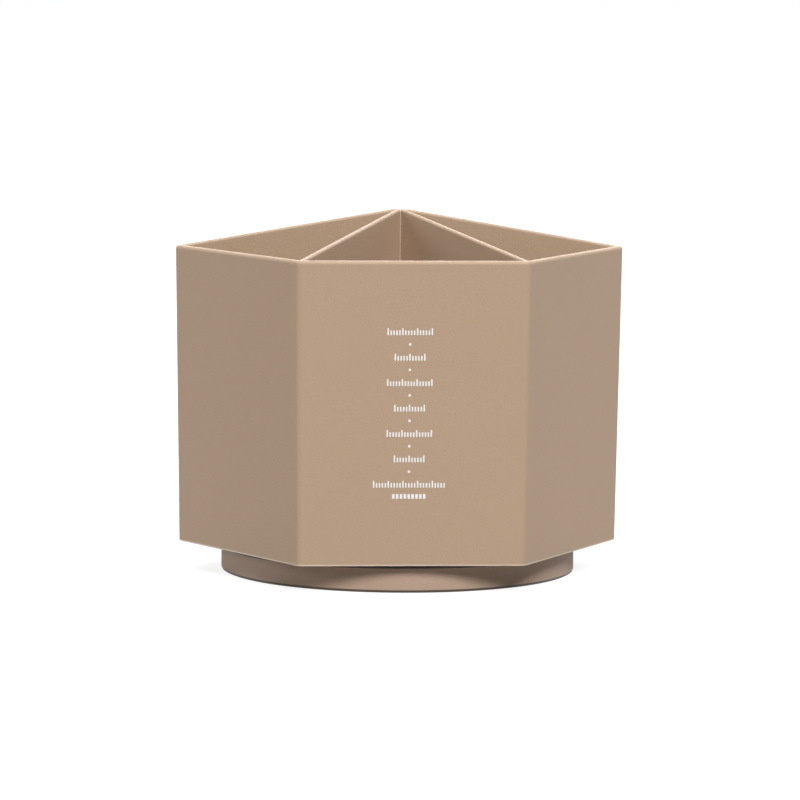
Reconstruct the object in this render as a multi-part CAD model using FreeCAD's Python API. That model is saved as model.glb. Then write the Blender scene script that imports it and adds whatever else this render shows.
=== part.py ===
# Six-cell hexagonal pen pot that turns on a round base with a roller race. Millimetres.
#
# Z is the turning axis and z = 0 is the surface that the base stands on. The pot's front wall
# faces -Y, so two of its corners lie on the X axis. The pot, its dividers and its floor are one
# moulding. The base is a ribbed shell closed by a disc from below. A caged ring of rollers
# carries the pot, and a screw and a washer in a well of the base hold the two together.
import FreeCAD
import Part
import math
import os

# Pot, outside. Widths are over the sharp corners, before rounding.
cell_count = 6
pot_across_corners = 150.0
pot_height = 99.0
pot_draft_deg = 0.78
corner_round = 2.3
foot_bevel = 0.2
rim_round = 1.15

# Pot, walls and cells
wall_thick = 2.4
floor_thick = 2.5
divider_thick = 2.0
divider_draft_deg = 0.3
peak_rise = 12.2
peak_across_corners = 4.7
divider_top_round = 0.85

# Pot, underside
recess_depth = 1.5
lip_width = 1.8
track_rib_width = 6.4
track_rib_height = 1.4
spoke_thick = 1.6
spoke_height = 1.0

# Base shell
base_margin = 2.8
base_wall = 2.0
web_thick = 2.0
cavity_depth = 1.6
ring_width = 5.5
turn_gap = 1.1
base_foot_round = 0.9
stiffener_count = 12
stiffener_thick = 1.4

# Base cover
cover_thick = 1.8
cover_fit = 0.2
well_diameter = 15.3
peg_count = 3
peg_diameter = 3.6
peg_height = 1.3
peg_clearance = 0.02
peg_socket_wall = 1.6

# Roller race. The cage runs inside the base's rim wall and snaps over the rollers.
roller_count = 14
roller_diameter = 4.0
roller_length = 5.0
roller_clearance = 0.08
cage_width = 9.0
cage_thick = 1.4
cage_gap = 0.4
pocket_clearance = 0.1

# Pivot
journal_diameter = 10.0
journal_clearance = 0.05
shoulder_diameter = 16.0
hub_wall = 2.2
hub_flange_thick = 2.6
thrust_gap = 0.3
end_play = 0.1
washer_diameter = 13.0
washer_thick = 1.0
screw_diameter = 4.8
screw_length = 11.5
screw_clearance = 0.02
screw_head_diameter = 9.5
screw_head_height = 2.5
screw_head_round = 1.6
screw_head_recess = 0.4
pilot_spare = 1.0

# Heights, from the table up
web_bottom = cover_thick + cavity_depth
web_top = web_bottom + web_thick
roller_height = web_top + roller_clearance + roller_diameter / 2
track_rib_bottom = roller_height + roller_diameter / 2 + roller_clearance
pot_underside = track_rib_bottom + track_rib_height
lip_height = pot_underside - recess_depth
rim_height = lip_height + pot_height
peak_height = rim_height + peak_rise
cell_floor_height = pot_underside + floor_thick
base_top = lip_height - turn_gap
washer_bottom = screw_head_recess + screw_head_height
journal_bottom = washer_bottom + washer_thick
flange_bottom = journal_bottom + end_play
flange_top = flange_bottom + hub_flange_thick
shoulder_bottom = flange_top + thrust_gap
screw_tip = washer_bottom + screw_length
pilot_top = screw_tip + pilot_spare

# Angles and radii
half_cell = math.pi / cell_count
cell_step_deg = 360.0 / cell_count
pot_slope = math.tan(math.radians(pot_draft_deg))
divider_slope = math.tan(math.radians(divider_draft_deg))
rim_apothem = pot_across_corners / 2 * math.cos(half_cell)
lip_apothem = rim_apothem - pot_height * pot_slope
recess_apothem = lip_apothem - lip_width
peak_apothem = peak_across_corners / 2 * math.cos(half_cell)
base_radius = recess_apothem - base_margin
cover_radius = base_radius - ring_width
cage_radius = base_radius - base_wall - cage_gap
track_radius = cage_radius - cage_width / 2
hub_radius = well_diameter / 2 + hub_wall
peg_circle_radius = (hub_radius + cover_radius) / 2

# A cutter stands `overrun` past the face that it opens. Points closer than `touching` meet.
# The roof of the dividers starts `eaves_rounds` top rounds outside the cells, clear of their
# mouths, and a top round takes at most `round_share` of a divider's thickness.
overrun = 1.0
touching = 1e-4
eaves_rounds = 1.2
round_share = 0.45
round_steps = 2
Z_AXIS = FreeCAD.Vector(0, 0, 1)
ORIGIN = FreeCAD.Vector(0, 0, 0)


def polar(radius, angle_deg, height):
    angle = math.radians(angle_deg)
    return FreeCAD.Vector(radius * math.cos(angle), radius * math.sin(angle), height)


def wall_apothem(height):
    """Distance from the axis to the flat of the pot's outside at a height."""
    return rim_apothem - (rim_height - height) * pot_slope


def divider_thickness(height):
    """Thickness of a divider at a height: it thickens towards the floor."""
    return divider_thick + 2 * (rim_height - height) * divider_slope


def polygon(apothem, height):
    """Corners of the pot's regular plan with the given apothem, the first one on +X."""
    radius = apothem / math.cos(half_cell)
    return [polar(radius, index * cell_step_deg, height) for index in range(cell_count)]


def tapered_block(lower, upper):
    """Solid between two flat outlines of equally many corners, with flat sides.

    Both outlines run anticlockwise from above. The lower one is turned over so that it faces down.
    """
    floor = Part.makePolygon(lower[::-1] + lower[-1:])
    ceiling = Part.makePolygon(upper + upper[:1])
    sides = []
    for here in range(len(lower)):
        after = (here + 1) % len(lower)
        sides.append(Part.makePolygon([lower[here], lower[after], upper[after], upper[here], lower[here]]))
    return Part.makeSolid(Part.makeShell([Part.Face(outline) for outline in [floor, ceiling] + sides]))


def revolved(outline):
    """Solid of revolution about Z from (radius, height) corners."""
    points = [FreeCAD.Vector(radius, 0, height) for radius, height in outline]
    return Part.Face(Part.makePolygon(points + points[:1])).revolve(ORIGIN, Z_AXIS, 360)


def rounded_foot(radius, height, size):
    """(radius, height) points of a convex quarter round, from an underside out to a wall."""
    angles = [math.pi / 2 * step / round_steps for step in range(round_steps + 1)]
    return [
        (radius - size + size * math.sin(angle), height + size - size * math.cos(angle))
        for angle in angles
    ]


def drum(diameter, bottom, top, centre_radius=0.0):
    """Upright cylinder between two heights, on the axis or on the X axis away from it."""
    return Part.makeCylinder(diameter / 2, top - bottom, FreeCAD.Vector(centre_radius, 0, bottom))


def tube(outer_diameter, inner_diameter, bottom, top):
    return drum(outer_diameter, bottom, top).cut(drum(inner_diameter, bottom - overrun, top + overrun))


def lying_drum(diameter, length, centre_radius, height):
    """Cylinder whose axis points away from the turning axis, along +X."""
    start = FreeCAD.Vector(centre_radius - length / 2, 0, height)
    return Part.makeCylinder(diameter / 2, length, start, FreeCAD.Vector(1, 0, 0))


def turned(shape, angle_deg):
    copy = shape.copy()
    copy.rotate(ORIGIN, Z_AXIS, angle_deg)
    return copy


def ring_of(shape, count, first_deg=0.0):
    """Copies of a shape spaced evenly about the axis."""
    return [turned(shape, first_deg + index * 360.0 / count) for index in range(count)]


def edge_middle(edge):
    return edge.valueAt((edge.FirstParameter + edge.LastParameter) / 2)


def is_upright(edge):
    """True for an edge that climbs from one height to another."""
    heights = [vertex.Z for vertex in edge.Vertexes]
    return max(heights) - min(heights) > floor_thick


def is_level(edge, height):
    return abs(edge_middle(edge).z - height) < touching


def pot_block():
    """The pot without its hollows: drafted hexagon with a low hexagonal roof up to the peak."""
    block = tapered_block(polygon(lip_apothem, lip_height), polygon(rim_apothem, rim_height))
    block = block.makeFillet(corner_round, [edge for edge in block.Edges if is_upright(edge)])
    block = block.makeFillet(rim_round, [edge for edge in block.Edges if is_level(edge, rim_height)])
    block = block.makeChamfer(foot_bevel, [edge for edge in block.Edges if is_level(edge, lip_height)])
    eaves_apothem = rim_apothem - wall_thick + divider_top_round * eaves_rounds
    roof = tapered_block(polygon(eaves_apothem, rim_height), polygon(peak_apothem, peak_height))
    return block.fuse(roof).removeSplitter()


def cell_outline(height):
    """Sharp triangle of one cell at a height, with its point towards the axis."""
    depth = wall_apothem(height) - wall_thick
    thickness = divider_thickness(height)
    half_width = depth * math.tan(half_cell) - thickness / 2 / math.cos(half_cell)
    tip = thickness / 2 / math.sin(half_cell)
    return [
        FreeCAD.Vector(tip, 0, height),
        FreeCAD.Vector(depth, -half_width, height),
        FreeCAD.Vector(depth, half_width, height),
    ]


def cell_hollow():
    """Space inside one cell, from its floor to above the peak, centred on +X."""
    return tapered_block(cell_outline(cell_floor_height), cell_outline(peak_height + overrun))


def pot_with_cells():
    """Pot with its cells cut and the mouths of the cells rounded along rim, dividers and peak."""
    hollows = ring_of(cell_hollow(), cell_count, cell_step_deg / 2)
    body = pot_block().cut(hollows)
    walls = Part.makeCompound(hollows)
    mouths = []
    for edge in body.Edges:
        middle = edge_middle(edge)
        if middle.z > rim_height - touching and Part.Vertex(middle).distToShape(walls)[0] < touching:
            mouths.append(edge)
    top_round = min(divider_top_round, round_share * divider_thickness(peak_height))
    return body.makeFillet(top_round, mouths)


def pot_underparts():
    """Track rib, spokes and pivot boss below the pot's floor."""
    track_diameter = 2 * track_radius
    root = pot_underside + overrun
    track = tube(track_diameter + track_rib_width, track_diameter - track_rib_width, track_rib_bottom, root)
    shoulder = drum(shoulder_diameter, shoulder_bottom, root)
    journal = drum(journal_diameter, journal_bottom, root)
    spoke = Part.makeBox(track_radius, spoke_thick, spoke_height + overrun,
                         FreeCAD.Vector(0, -spoke_thick / 2, pot_underside - spoke_height))
    return [track, shoulder, journal] + ring_of(spoke, cell_count)


def make_pot():
    body = pot_with_cells()
    recess_mouth = polygon(recess_apothem, lip_height - overrun)
    recess = tapered_block(recess_mouth, polygon(recess_apothem, pot_underside))
    body = body.cut(recess).fuse(pot_underparts())
    pilot = drum(screw_diameter + 2 * screw_clearance, journal_bottom - overrun, pilot_top)
    return body.cut(pilot).removeSplitter()


def make_base_shell():
    """Round shell: rim wall, race web and hub in one turned outline, with ribs below the web."""
    rim_inside = base_radius - base_wall
    seat = cover_radius + cover_fit
    bore = journal_diameter / 2 + journal_clearance
    outline = [(seat, 0)] + rounded_foot(base_radius, 0, base_foot_round) + [
        (base_radius, base_top),
        (rim_inside, base_top),
        (rim_inside, web_top),
        (hub_radius, web_top),
        (hub_radius, flange_top),
        (bore, flange_top),
        (bore, flange_bottom),
        (well_diameter / 2, flange_bottom),
        (well_diameter / 2, cover_thick),
        (hub_radius, cover_thick),
        (hub_radius, web_bottom),
        (seat, web_bottom),
    ]
    stiffener = Part.makeBox(seat - hub_radius + overrun, stiffener_thick, cavity_depth,
                             FreeCAD.Vector(hub_radius - overrun / 2, -stiffener_thick / 2, cover_thick))
    socket = drum(peg_diameter + 2 * peg_socket_wall, cover_thick, web_bottom, peg_circle_radius)
    peg_hole = drum(peg_diameter + 2 * peg_clearance, cover_thick, web_bottom, peg_circle_radius)
    half_pitch = 180.0 / stiffener_count
    ribs = ring_of(stiffener, stiffener_count, half_pitch) + ring_of(socket, peg_count)
    return revolved(outline).fuse(ribs).cut(ring_of(peg_hole, peg_count)).removeSplitter()


def make_base_cover():
    """Disc that closes the base from below, with pegs that push into the shell's sockets."""
    disc = tube(2 * cover_radius, well_diameter, 0, cover_thick)
    peg = drum(peg_diameter, cover_thick - overrun, cover_thick + peg_height, peg_circle_radius)
    return disc.fuse(ring_of(peg, peg_count)).removeSplitter()


def make_roller_cage():
    """Flat ring with a pocket for each roller. A pocket is widest at the rollers' axis."""
    ring = tube(2 * cage_radius, 2 * (cage_radius - cage_width),
                roller_height - cage_thick / 2, roller_height + cage_thick / 2)
    pocket = lying_drum(roller_diameter + 2 * pocket_clearance, roller_length + 2 * pocket_clearance,
                        track_radius, roller_height)
    return ring.cut(ring_of(pocket, roller_count))


def make_rollers():
    roller = lying_drum(roller_diameter, roller_length, track_radius, roller_height)
    return ring_of(roller, roller_count)


def make_washer():
    return tube(washer_diameter, screw_diameter + 2 * screw_clearance, washer_bottom, journal_bottom)


def make_screw():
    """Pan head below the washer and a shank up into the pot's boss."""
    head = rounded_foot(screw_head_diameter / 2, screw_head_recess, screw_head_round)
    return revolved([(0, screw_head_recess)] + head + [
        (screw_head_diameter / 2, washer_bottom),
        (screw_diameter / 2, washer_bottom),
        (screw_diameter / 2, screw_tip),
        (0, screw_tip),
    ])


def make_parts():
    parts = {
        "pot": make_pot(),
        "base_shell": make_base_shell(),
        "base_cover": make_base_cover(),
        "roller_cage": make_roller_cage(),
        "flat_washer": make_washer(),
        "centre_screw": make_screw(),
    }
    for number, roller in enumerate(make_rollers(), 1):
        parts[f"roller_{number:02d}"] = roller
    return parts


os.makedirs("parts", exist_ok=True)
for name, shape in make_parts().items():
    solid = shape.Solids[0]
    solid.exportStep(f"parts/{name}.step")
    print(name, len(shape.Solids), shape.isValid(), round(solid.Volume, 1))
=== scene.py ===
# A khaki hexagonal pen pot on its round swivel base, on a white studio floor.
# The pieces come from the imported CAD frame. This script dresses them, prints ticks on the front wall
# and puts a cross-recess screw in place of the plain CAD one. Lengths are in metres.
import bmesh
import bpy
import math
from mathutils import Matrix, Vector


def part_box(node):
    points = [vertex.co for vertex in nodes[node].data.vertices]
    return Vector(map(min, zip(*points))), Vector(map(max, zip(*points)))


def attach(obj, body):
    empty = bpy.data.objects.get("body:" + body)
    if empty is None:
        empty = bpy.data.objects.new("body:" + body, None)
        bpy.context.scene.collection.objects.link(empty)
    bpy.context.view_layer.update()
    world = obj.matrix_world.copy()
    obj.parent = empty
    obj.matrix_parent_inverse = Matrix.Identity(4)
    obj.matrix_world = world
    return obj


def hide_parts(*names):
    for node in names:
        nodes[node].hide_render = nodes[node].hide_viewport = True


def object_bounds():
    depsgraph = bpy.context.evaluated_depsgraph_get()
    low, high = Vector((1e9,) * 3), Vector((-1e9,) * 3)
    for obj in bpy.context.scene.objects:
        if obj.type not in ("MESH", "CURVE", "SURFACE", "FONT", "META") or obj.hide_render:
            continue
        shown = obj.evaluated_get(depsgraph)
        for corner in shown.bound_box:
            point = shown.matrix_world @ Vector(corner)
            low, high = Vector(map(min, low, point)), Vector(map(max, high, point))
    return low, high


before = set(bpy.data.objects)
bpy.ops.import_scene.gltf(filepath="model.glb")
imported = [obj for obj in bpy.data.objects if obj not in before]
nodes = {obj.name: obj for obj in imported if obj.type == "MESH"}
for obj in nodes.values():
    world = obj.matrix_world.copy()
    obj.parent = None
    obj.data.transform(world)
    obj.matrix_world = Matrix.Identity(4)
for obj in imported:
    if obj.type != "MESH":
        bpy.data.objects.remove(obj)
cad_low, cad_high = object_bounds()
MM = 0.001

# --- Camera: turned a little to the left of the front wall and raised a little above it ---
CAMERA_DISTANCE = 1.71786
CAMERA_AZIMUTH_DEG = -4.241
CAMERA_ELEVATION_DEG = 6.153
CAMERA_ROLL_DEG = 0.470
CAMERA_TARGET = Vector((0, 0, 0.0645))
CAMERA_SIDE = 0.398 * MM
CAMERA_DROP = 7.826 * MM
SENSOR_WIDTH_MM = 36.0
FOCAL_LENGTH_MM = 231.26

# --- Light: each lamp is a wide patch of sky, and azimuth 0 is straight in front of the object ---
LAMPS = {
    "key": dict(azimuth_deg=10, elevation_deg=38, width_deg=20, strength=2.7),
    "left": dict(azimuth_deg=-80, elevation_deg=20, width_deg=30, strength=0.6),
    "right": dict(azimuth_deg=80, elevation_deg=20, width_deg=30, strength=0.06),
    "top": dict(azimuth_deg=0, elevation_deg=89, width_deg=34, strength=1.7),
    "back": dict(azimuth_deg=172, elevation_deg=35, width_deg=30, strength=1.8),
}
WORLD_STRENGTH = 0.02

# --- Floor ---
FLOOR_REACH = 6.0
FLOOR_DROP = 0.05 * MM
FLOOR_GLOW = 0.85

# --- Print on the front wall: rows of plain ruler ticks with a dot between them ---
PRINT_CENTRE_X = -1.2 * MM
PRINT_TOP = 86.8 * MM
ROW_PITCH = 8.25 * MM
ROW_COUNT = 7
LONG_ROW_TICKS = 16
SHORT_ROW_TICKS = 11
LAST_ROW_TICKS = 25
TICK_PITCH = 0.95 * MM
TICK_WIDTH = 0.46 * MM
TICK_HEIGHT = 1.5 * MM
LONG_TICK_HEIGHT = 2.2 * MM
LONG_TICK_EVERY = 5
DOT_SIZE = 0.75 * MM
BOLD_TICKS = 9
BOLD_TICK_PITCH = 1.25 * MM
BOLD_TICK_WIDTH = 0.8 * MM
BOLD_ROW_DROP = 4.3 * MM
INK_PROUD = 0.04 * MM
INK_SUNK = 0.03 * MM
RAY_START = 10 * MM

# --- Pan-head screw with a cross recess ---
SCREW_FACETS = 64
HEAD_EDGE_ROUND = 1.6 * MM
HEAD_ROUND_STEPS = 10
SHANK_RADIUS = 2.4 * MM
THREAD_DEPTH = 0.4 * MM
THREAD_PITCH = 0.8 * MM
RECESS_SPAN = 6.0 * MM
RECESS_WING = 1.5 * MM
RECESS_DEPTH = 2.2 * MM
RECESS_TAPER = 0.42
CUTTER_OVERRUN = 0.25
SHARP_EDGE_DEG = 32.0
WELD_DISTANCE = 0.001 * MM

# --- Edge wear and painted light: a band of colour sets in at its start and is complete where it is full ---
# The lip's are heights above its lower edge, the seam's are depths below the base's top, and the foot's
# are heights above the desk.
# Edges are worn paler: partly real wear and partly a painted highlight.
EDGE_WEAR_AND_HIGHLIGHT_WIDTH = 0.7 * MM
RUBBED_ROUGHNESS = 0.38
# The lip's band is a painted highlight on the lower edge of the pot's walls.
LIP_HIGHLIGHT_START = 0.6 * MM
LIP_HIGHLIGHT_FULL = 0.2 * MM
# The seam's band is painted shade on the base's top edge, in the gap under the pot.
SEAM_SHADE_START = 0.55 * MM
SEAM_SHADE_FULL = 0.30 * MM
# The foot's band is painted shade where the base meets the desk.
FOOT_SHADE_START = 1.10 * MM
FOOT_SHADE_FULL = 0.80 * MM
FRONT_ZONE = 0.9

# --- Colours, linear ---
KHAKI = (0.450, 0.312, 0.207)
BASE_KHAKI = (0.488, 0.348, 0.255)
# Paler edge colour: partly real wear, partly a painted highlight.
WORN_AND_HIGHLIT_KHAKI = (0.84, 0.77, 0.69)
# Painted highlight on edges that face up.
PAINTED_TOP_EDGE_HIGHLIGHT = (0.96, 0.93, 0.89)
# Painted shade in the seam between base and pot.
PAINTED_SEAM_SHADE = (0.040, 0.025, 0.015)
# Painted shade on the base's foot.
PAINTED_FOOT_SHADE = (0.090, 0.062, 0.043)
# Painted highlight on the pot's lower lip.
PAINTED_LIP_HIGHLIGHT = (0.80, 0.66, 0.53)
STEEL = (0.48, 0.47, 0.45)
ZINC = (0.55, 0.46, 0.37)
ACETAL = (0.75, 0.74, 0.70)
BLACK_ACETAL = (0.035, 0.034, 0.033)
PRINT_WHITE = (0.95, 0.95, 0.94)
FLOOR_GREY = (0.30, 0.30, 0.30)
WHITE = (1.0, 1.0, 1.0)


def opaque(colour):
    """The colour with its alpha, as a shader socket takes it."""
    return (*colour, 1.0)


def tinted(colour, factor):
    """The colour made darker or lighter, and no lighter than white."""
    return tuple(min(1.0, channel * factor) for channel in colour)


def direction(azimuth_deg, elevation_deg):
    """Unit vector from the object towards a place at an azimuth, 0 being -Y and 90 being +X."""
    azimuth, elevation = math.radians(azimuth_deg), math.radians(elevation_deg)
    level = math.cos(elevation)
    return Vector((math.sin(azimuth) * level, -math.cos(azimuth) * level, math.sin(elevation)))


def add_object(name, data):
    """Shows a mesh, camera or lamp in the scene, as an object of its own."""
    thing = bpy.data.objects.new(name, data)
    bpy.context.scene.collection.objects.link(thing)
    return thing


def finished_mesh(name, bm):
    """Mesh of a bmesh, which is then let go."""
    mesh = bpy.data.meshes.new(name)
    bm.to_mesh(mesh)
    bm.free()
    return mesh


# --- Node trees ---


class Nodes:
    """The node tree of a material or the world, with short calls to add and join nodes."""

    # Places of a Mix node's colour sockets, which share their names with its other kinds of socket.
    MIX_FIRST = 6
    MIX_SECOND = 7
    MIX_RESULT = 2

    def __init__(self, owner, output="ShaderNodeOutputMaterial"):
        owner.use_nodes = True
        self.tree = owner.node_tree
        self.tree.nodes.clear()
        self.output = self.add(output)
        self.coordinates = None

    def add(self, kind, **settings):
        node = self.tree.nodes.new(kind)
        for key, value in settings.items():
            setattr(node, key, value)
        return node

    def join(self, source, target):
        self.tree.links.new(source, target)

    def show(self, shader):
        """Makes a shader node the one that the surface or the world shows."""
        self.join(shader.outputs[0], self.output.inputs["Surface"])

    def place(self):
        """The point in the piece's own frame, in metres."""
        if self.coordinates is None:
            self.coordinates = self.add("ShaderNodeTexCoord")
        return self.coordinates.outputs["Object"]

    def facing(self):
        """The surface's normal, before any bump."""
        return self.add("ShaderNodeNewGeometry").outputs["Normal"]

    def upward(self, vector):
        """The Z of a point or a normal."""
        node = self.add("ShaderNodeSeparateXYZ")
        self.join(vector, node.inputs["Vector"])
        return node.outputs["Z"]

    def noise(self, scale, detail=2.0, roughness=0.5):
        """Soft random pattern from 0 to 1. A larger scale makes it finer."""
        node = self.add("ShaderNodeTexNoise")
        node.inputs["Scale"].default_value = scale
        node.inputs["Detail"].default_value = detail
        node.inputs["Roughness"].default_value = roughness
        self.join(self.place(), node.inputs["Vector"])
        return node.outputs["Fac"]

    def spread(self, value, low, high):
        """Maps 0..1 to low..high."""
        node = self.add("ShaderNodeMapRange")
        node.inputs["To Min"].default_value = low
        node.inputs["To Max"].default_value = high
        self.join(value, node.inputs["Value"])
        return node.outputs["Result"]

    def ramp(self, value, start, end):
        """0 up to the start and 1 from the end on. The start may be the higher of the two."""
        node = self.add("ShaderNodeMapRange")
        node.inputs["From Min"].default_value = start
        node.inputs["From Max"].default_value = end
        self.join(value, node.inputs["Value"])
        return node.outputs["Result"]

    def multiply(self, first, second):
        node = self.add("ShaderNodeMath", operation="MULTIPLY")
        self.join(first, node.inputs[0])
        self.join(second, node.inputs[1])
        return node.outputs[0]

    def mix(self, share, first, second):
        """Blends two colours by a share. Each of the three is a constant or another node's output."""
        node = self.add("ShaderNodeMix", data_type="RGBA")
        if isinstance(share, bpy.types.NodeSocket):
            self.join(share, node.inputs["Factor"])
        else:
            node.inputs["Factor"].default_value = share
        for index, colour in ((self.MIX_FIRST, first), (self.MIX_SECOND, second)):
            if isinstance(colour, bpy.types.NodeSocket):
                self.join(colour, node.inputs[index])
            else:
                node.inputs[index].default_value = opaque(colour)
        return node.outputs[self.MIX_RESULT]

    def bump(self, height, strength, depth, normal=None):
        """Normal of a relief, which is laid over another relief's normal if there is one."""
        node = self.add("ShaderNodeBump")
        node.inputs["Strength"].default_value = strength
        node.inputs["Distance"].default_value = depth
        self.join(height, node.inputs["Height"])
        if normal is not None:
            self.join(normal, node.inputs["Normal"])
        return node.outputs["Normal"]

    def edges(self, width, wear):
        """Up to 1 within a width of an edge, broken up by the wear noise: edge wear with a painted
        highlight. 0 on flat faces and underneath.
        """
        soft = self.add("ShaderNodeBevel", samples=6)
        soft.inputs["Radius"].default_value = width
        normal = self.facing()
        likeness = self.add("ShaderNodeVectorMath", operation="DOT_PRODUCT")
        self.join(soft.outputs["Normal"], likeness.inputs[0])
        self.join(normal, likeness.inputs[1])
        turn = self.ramp(likeness.outputs["Value"], start=0.995, end=0.93)
        exposed = self.ramp(self.upward(normal), start=-0.4, end=-0.05)
        return self.multiply(self.multiply(turn, self.spread(wear, low=0.35, high=1.0)), exposed)


# --- Materials ---


def shades(colour, darker, lighter):
    """Two tints of a colour, for a pattern to run between."""
    return tinted(colour, darker), tinted(colour, lighter)


def moulded_colour(n, colour):
    """The colour of a moulding: a fine speckle and a faint mottling, half and half."""
    speckle = n.mix(n.noise(scale=2400, roughness=0.6), *shades(colour, darker=0.78, lighter=1.22))
    mottle = n.mix(n.noise(scale=28, detail=3.0), *shades(colour, darker=0.96, lighter=1.04))
    return n.mix(share=0.5, first=speckle, second=mottle)


def fine_sand(n, grain):
    """Normal of a fine sand texture over a faint ripple. The grain scales both."""
    sand = n.bump(n.noise(scale=1800, roughness=0.65), strength=0.8 * grain, depth=0.12 * MM)
    return n.bump(n.noise(scale=260), strength=0.12 * grain, depth=0.2 * MM, normal=sand)


def moulded_plastic(name, colour, worn_and_highlit_edge, grain=1.0, top_edge_highlight=None, bands=()):
    """Matt plastic with a fine sand texture, faint mottling and edges worn paler and smoother, the paleness
    partly a painted highlight.

    Edges that face up may get a painted highlight, paler still. A band is a colour that comes in from one
    height to another, on all but the flat underside.
    """
    material = bpy.data.materials.new(name)
    n = Nodes(material)
    shader = n.add("ShaderNodeBsdfPrincipled")
    shader.inputs["IOR"].default_value = 1.50
    shader.inputs["Sheen Weight"].default_value = 0.12
    shader.inputs["Sheen Roughness"].default_value = 0.5
    # Edges paler: partly real wear, partly a painted highlight.
    edge = n.edges(EDGE_WEAR_AND_HIGHLIGHT_WIDTH, wear=n.noise(scale=420, detail=3.0))
    surface = n.mix(edge, moulded_colour(n, colour), worn_and_highlit_edge)
    if top_edge_highlight:
        # Painted highlight on edges that face up.
        facing_up = n.ramp(n.upward(n.facing()), start=0.1, end=0.6)
        surface = n.mix(n.multiply(edge, facing_up), surface, top_edge_highlight)
    # Bands of painted shade or painted highlight.
    for start, full, band_colour in bands:
        beside = n.ramp(n.upward(n.facing()), start=-0.99, end=-0.95)
        band = n.multiply(n.ramp(n.upward(n.place()), start, full), beside)
        surface = n.mix(band, surface, band_colour)
    matt = n.spread(n.noise(scale=700), low=0.56, high=0.70)
    n.join(surface, shader.inputs["Base Color"])
    n.join(n.mix(edge, matt, (RUBBED_ROUGHNESS,) * 3), shader.inputs["Roughness"])
    n.join(fine_sand(n, grain), shader.inputs["Normal"])
    n.show(shader)
    return material


def metal(name, colour, roughness, grain_scale):
    """Metal that is a little cloudy in colour, with a fine grain in its gloss and relief."""
    material = bpy.data.materials.new(name)
    n = Nodes(material)
    shader = n.add("ShaderNodeBsdfPrincipled")
    shader.inputs["Metallic"].default_value = 1.0
    cloudy = n.mix(n.noise(scale=900, detail=3.0), *shades(colour, darker=0.86, lighter=1.08))
    gloss = n.noise(grain_scale, detail=4.0, roughness=0.7)
    n.join(cloudy, shader.inputs["Base Color"])
    n.join(n.spread(gloss, low=roughness * 0.7, high=roughness * 1.3), shader.inputs["Roughness"])
    relief = n.noise(grain_scale, detail=3.0)
    n.join(n.bump(relief, strength=0.15, depth=0.03 * MM), shader.inputs["Normal"])
    n.show(shader)
    return material


def ink(name, colour):
    """Printed ink: slightly uneven in cover, a little glossier than the plastic."""
    material = bpy.data.materials.new(name)
    n = Nodes(material)
    shader = n.add("ShaderNodeBsdfPrincipled")
    cover = n.mix(n.noise(scale=4000), *shades(colour, darker=0.93, lighter=1.0))
    n.join(cover, shader.inputs["Base Color"])
    n.join(n.spread(n.noise(scale=1500), low=0.42, high=0.55), shader.inputs["Roughness"])
    n.join(n.bump(n.noise(scale=2600), strength=0.2, depth=0.03 * MM), shader.inputs["Normal"])
    n.show(shader)
    return material


# --- CAD pieces ---


def dress(names, material):
    """Gives CAD nodes a material in place of the one they came with."""
    for name in names:
        node = nodes[name]
        node.data.materials.clear()
        node.data.materials.append(material)


def lip_bottom():
    """Height of the lower edge of the pot's walls, looked for at the front, where only the wall is."""
    front = FRONT_ZONE * cad_low.y
    return min(corner.co.z for corner in nodes["pot"].data.vertices if corner.co.y < front)


def dress_pot():
    """Khaki plastic, with a painted highlight on the lip at the foot of its walls."""
    bottom = lip_bottom()
    # Painted highlight along the lip at the foot of the walls.
    highlit_lip = (bottom + LIP_HIGHLIGHT_START, bottom + LIP_HIGHLIGHT_FULL, PAINTED_LIP_HIGHLIGHT)
    dress(["pot"], moulded_plastic(
        "khaki_plastic", KHAKI, WORN_AND_HIGHLIT_KHAKI, top_edge_highlight=PAINTED_TOP_EDGE_HIGHLIGHT, bands=[highlit_lip]))


def dress_base():
    """Khaki plastic: a shell with painted shade along its top edge in the seam under the pot and painted
    shade on its foot, and a darker cover.
    """
    base_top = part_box("base_shell")[1].z
    # Painted shade along the base's top edge, under the pot.
    shaded_seam = (base_top - SEAM_SHADE_START, base_top - SEAM_SHADE_FULL, PAINTED_SEAM_SHADE)
    # Painted shade on the foot, where it meets the desk.
    shaded_foot = (FOOT_SHADE_START, FOOT_SHADE_FULL, PAINTED_FOOT_SHADE)
    dress(["base_shell"], moulded_plastic(
        "khaki_base_plastic", BASE_KHAKI, WORN_AND_HIGHLIT_KHAKI, bands=[shaded_seam, shaded_foot]))
    dress(["base_cover"], moulded_plastic(
        "khaki_cover_plastic", tinted(BASE_KHAKI, factor=0.97), WORN_AND_HIGHLIT_KHAKI, grain=0.8))


def dress_bearing():
    """Black cage, zinc-plated washer and off-white rollers."""
    dress(["roller_cage"], moulded_plastic(
        "black_acetal", BLACK_ACETAL, tinted(BLACK_ACETAL, factor=2.0), grain=0.3))
    dress(["flat_washer"], metal("zinc_plate", ZINC, roughness=0.38, grain_scale=1800))
    rollers = [name for name in nodes if name.startswith("roller_") and name != "roller_cage"]
    dress(rollers, moulded_plastic("roller_acetal", tinted(ACETAL, factor=1.06), ACETAL, grain=0.3))


# --- Pieces made here ---


def new_piece(name, bm, material, body):
    """Puts a finished shape in the scene as a piece of a body."""
    mesh = finished_mesh(name, bm)
    mesh.materials.append(material)
    piece = add_object(name, mesh)
    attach(piece, body)
    return piece


def wall_point(x, z, outwards):
    """Point on the pot's front wall at x and z, moved off it by a distance along its normal."""
    start = Vector((x, cad_low.y - RAY_START, z))
    found, place, normal, _ = nodes["pot"].ray_cast(start, Vector((0, 1, 0)))
    if not found:
        raise RuntimeError("the print lies off the front wall")
    return place + normal * outwards


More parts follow.
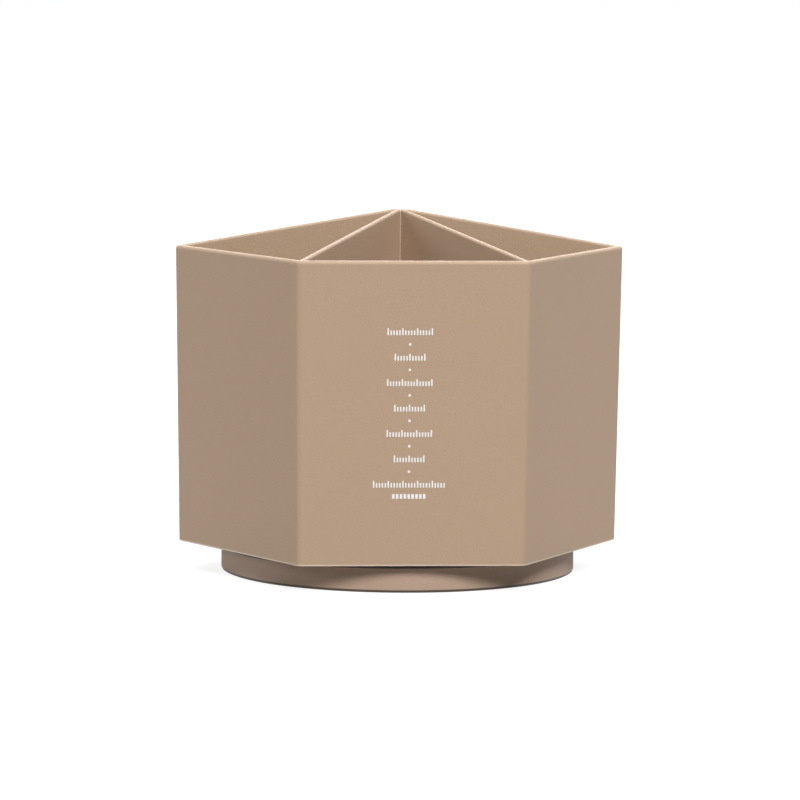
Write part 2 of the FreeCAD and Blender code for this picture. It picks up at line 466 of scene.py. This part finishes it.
def add_mark(bm, x, z, width, height):
    """One raised rectangle of ink, centred at x with its foot at z."""
    left, right, top = x - width / 2, x + width / 2, z + height
    corners = [(left, z), (right, z), (right, top), (left, top)]
    inner = [bm.verts.new(wall_point(*corner, -INK_SUNK)) for corner in corners]
    outer = [bm.verts.new(wall_point(*corner, INK_PROUD)) for corner in corners]
    bm.faces.new(outer)
    bm.faces.new(inner[::-1])
    for here in range(len(corners)):
        after = (here + 1) % len(corners)
        bm.faces.new((inner[here], inner[after], outer[after], outer[here]))


def row_places(count, pitch):
    """Centres of a row of marks, left to right."""
    return [PRINT_CENTRE_X + (index - (count - 1) / 2) * pitch for index in range(count)]


def make_print():
    """Rows of ticks, with a dot under each but the last, which has a row of bold ticks under it."""
    bm = bmesh.new()
    for row in range(ROW_COUNT):
        is_last = row == ROW_COUNT - 1
        count = LAST_ROW_TICKS if is_last else (LONG_ROW_TICKS, SHORT_ROW_TICKS)[row % 2]
        foot = PRINT_TOP - row * ROW_PITCH - LONG_TICK_HEIGHT
        for index, x in enumerate(row_places(count, TICK_PITCH)):
            height = TICK_HEIGHT if index % LONG_TICK_EVERY else LONG_TICK_HEIGHT
            add_mark(bm, x, foot, TICK_WIDTH, height)
        if not is_last:
            dot_foot = foot - (ROW_PITCH - LONG_TICK_HEIGHT + DOT_SIZE) / 2
            add_mark(bm, PRINT_CENTRE_X, dot_foot, DOT_SIZE, DOT_SIZE)
    bold_foot = foot - BOLD_ROW_DROP + LONG_TICK_HEIGHT - TICK_HEIGHT
    for x in row_places(BOLD_TICKS, BOLD_TICK_PITCH):
        add_mark(bm, x, bold_foot, BOLD_TICK_WIDTH, TICK_HEIGHT)
    new_piece("front_tick_print", bm, ink("white_ink", PRINT_WHITE), "pot")


def screw_outline(low, high, head_back):
    """(radius, height) points up the screw: the head's rounded face, its flat back, the ridged shank."""
    head_radius = high.x
    root_radius = SHANK_RADIUS - THREAD_DEPTH
    outline = [(0, low.z)]
    for step in range(HEAD_ROUND_STEPS + 1):
        angle = math.pi / 2 * step / HEAD_ROUND_STEPS
        outline.append((head_radius - HEAD_EDGE_ROUND * (1 - math.sin(angle)),
                        low.z + HEAD_EDGE_ROUND * (1 - math.cos(angle))))
    outline += [(head_radius, head_back), (SHANK_RADIUS, head_back)]
    ridges = int((high.z - head_back - 2 * THREAD_PITCH) / THREAD_PITCH)
    for ridge in range(ridges):
        height = head_back + (ridge + 1) * THREAD_PITCH
        outline += [(SHANK_RADIUS, height), (root_radius, height + THREAD_PITCH / 2)]
    outline += [(root_radius, high.z), (0, high.z)]
    return outline


def turned_solid(outline):
    """Shape turned about Z from (radius, height) points, the first and last on the axis."""
    bm = bmesh.new()
    points = [bm.verts.new((radius, 0, height)) for radius, height in outline]
    edges = [bm.edges.new(pair) for pair in zip(points, points[1:])]
    bmesh.ops.spin(bm, geom=points + edges, cent=(0, 0, 0), axis=(0, 0, 1), angle=2 * math.pi,
                   steps=SCREW_FACETS, use_merge=True)
    bmesh.ops.remove_doubles(bm, verts=bm.verts, dist=WELD_DISTANCE)
    bmesh.ops.recalc_face_normals(bm, faces=bm.faces)
    return bm


def cross_ring(bm, height, share):
    """Corners of a cross at a height, at a share of the recess's span and wing."""
    span, wing = RECESS_SPAN / 2 * share, RECESS_WING / 2 * share
    quarter = [(span, -wing), (span, wing), (wing, wing)]
    ring = []
    for turn in range(4):
        spin = Matrix.Rotation(turn * math.pi / 2, 3, "Z")
        ring += [bm.verts.new(spin @ Vector((x, y, height))) for x, y in quarter]
    return ring


def cross_cutter(face_height):
    """Tapered cross that cuts the recess upwards, from a little below the head's face."""
    bm = bmesh.new()
    low = cross_ring(bm, face_height - RECESS_DEPTH * CUTTER_OVERRUN, 1 + RECESS_TAPER * CUTTER_OVERRUN)
    high = cross_ring(bm, face_height + RECESS_DEPTH, 1 - RECESS_TAPER)
    bm.faces.new(low)
    bm.faces.new(high[::-1])
    for here in range(len(low)):
        after = (here + 1) % len(low)
        bm.faces.new((low[here], high[here], high[after], low[after]))
    bmesh.ops.recalc_face_normals(bm, faces=bm.faces)
    return bm


def cut_away(piece, cutter_bm):
    """Takes a cutter's shape out of a piece and leaves no modifier on it."""
    cutter_mesh = finished_mesh("cutter", cutter_bm)
    cutter = add_object("cutter", cutter_mesh)
    cut = piece.modifiers.new("cut", "BOOLEAN")
    cut.operation = "DIFFERENCE"
    cut.solver = "EXACT"
    cut.object = cutter
    evaluated = piece.evaluated_get(bpy.context.evaluated_depsgraph_get())
    finished = bpy.data.meshes.new_from_object(evaluated)
    piece.modifiers.clear()
    piece.data = finished
    bpy.data.objects.remove(cutter)
    bpy.data.meshes.remove(cutter_mesh)


def smooth_but_sharp(mesh):
    """Shades a mesh smooth, apart from its sharp edges."""
    bm = bmesh.new()
    bm.from_mesh(mesh)
    for face in bm.faces:
        face.smooth = True
    for edge in bm.edges:
        edge.smooth = len(edge.link_faces) == 2 and edge.calc_face_angle() < math.radians(SHARP_EDGE_DEG)
    bm.to_mesh(mesh)
    bm.free()


def make_screw():
    """Pan head, cross recess and ridged shank, in the space of the plain CAD screw."""
    low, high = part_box("centre_screw")
    head_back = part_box("flat_washer")[0].z
    outline = screw_outline(low, high, head_back)
    steel = metal("screw_steel", STEEL, roughness=0.28, grain_scale=1200)
    screw = new_piece("cross_recess_screw", turned_solid(outline), steel, "pot")
    cut_away(screw, cross_cutter(low.z))
    smooth_but_sharp(screw.data)
    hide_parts("centre_screw")


# --- Studio ---


def make_camera():
    """The photograph's camera: aimed at its target, then moved a little aside and down without turning."""
    back = direction(CAMERA_AZIMUTH_DEG, CAMERA_ELEVATION_DEG)
    level_right = Vector((-back.y, back.x, 0)).normalized()
    level_up = back.cross(level_right)
    roll = math.radians(CAMERA_ROLL_DEG)
    right = level_right * math.cos(roll) + level_up * math.sin(roll)
    up = back.cross(right)
    data = bpy.data.cameras.new("camera")
    data.sensor_width = SENSOR_WIDTH_MM
    data.lens = FOCAL_LENGTH_MM
    camera = add_object("camera", data)
    place = CAMERA_TARGET + back * CAMERA_DISTANCE + right * CAMERA_SIDE - up * CAMERA_DROP
    camera.matrix_world = Matrix.Translation(place) @ Matrix((right, up, back)).transposed().to_4x4()
    bpy.context.scene.camera = camera


def light_and_show(n, lighting, shown):
    """Lights the object with one shader and shows the other to the camera and in reflections and glass."""
    path = n.add("ShaderNodeLightPath")
    seen = path.outputs["Is Camera Ray"]
    for name in ("Is Glossy Ray", "Is Transmission Ray"):
        either = n.add("ShaderNodeMath", operation="ADD", use_clamp=True)
        n.join(seen, either.inputs[0])
        n.join(path.outputs[name], either.inputs[1])
        seen = either.outputs[0]
    pick = n.add("ShaderNodeMixShader")
    n.join(seen, pick.inputs[0])
    n.join(lighting.outputs[0], pick.inputs[1])
    n.join(shown.outputs[0], pick.inputs[2])
    n.show(pick)


def make_world():
    """Faint even light from all round, seen as plain white."""
    world = bpy.data.worlds.new("studio")
    bpy.context.scene.world = world
    n = Nodes(world, output="ShaderNodeOutputWorld")
    light = n.add("ShaderNodeBackground")
    light.inputs["Color"].default_value = opaque(WHITE)
    light.inputs["Strength"].default_value = WORLD_STRENGTH
    white = n.add("ShaderNodeBackground")
    white.inputs["Color"].default_value = opaque(WHITE)
    light_and_show(n, lighting=light, shown=white)


def floor_white():
    """Grey in the light that it throws back, and seen as white as the backdrop, with a faint shadow."""
    material = bpy.data.materials.new("floor_white")
    n = Nodes(material)
    plain = n.add("ShaderNodeBsdfDiffuse")
    n.join(n.mix(n.noise(scale=3), *shades(FLOOR_GREY, darker=1.0, lighter=1.05)), plain.inputs["Color"])
    shaded = n.add("ShaderNodeBsdfDiffuse")
    shaded.inputs["Color"].default_value = opaque(FLOOR_GREY)
    glow = n.add("ShaderNodeEmission")
    glow.inputs["Strength"].default_value = FLOOR_GLOW
    glowing = n.add("ShaderNodeAddShader")
    n.join(shaded.outputs[0], glowing.inputs[0])
    n.join(glow.outputs[0], glowing.inputs[1])
    light_and_show(n, lighting=plain, shown=glowing)
    return material


def make_floor():
    """Wide flat floor, a hair below the base so that the two don't share a face."""
    bm = bmesh.new()
    bmesh.ops.create_grid(bm, x_segments=1, y_segments=1, size=FLOOR_REACH)
    floor = add_object("floor", finished_mesh("floor", bm))
    floor.location.z = -FLOOR_DROP
    floor.data.materials.append(floor_white())


def soft_sun(name, azimuth_deg, elevation_deg, width_deg, strength):
    """Even light from a wide patch of the sky, as from a large softbox far away."""
    data = bpy.data.lights.new(name, "SUN")
    data.energy = strength
    data.angle = math.radians(width_deg)
    towards = direction(azimuth_deg, elevation_deg)
    lamp = add_object(name, data)
    lamp.location = CAMERA_TARGET + towards
    lamp.rotation_mode = "QUATERNION"
    lamp.rotation_quaternion = towards.to_track_quat("Z", "Y")


# --- The scene ---

make_camera()
dress_pot()
dress_base()
dress_bearing()
make_print()
make_screw()
make_world()
make_floor()
for lamp_name, lamp in LAMPS.items():
    soft_sun(lamp_name, **lamp)
bpy.context.scene.view_settings.view_transform = "Standard"
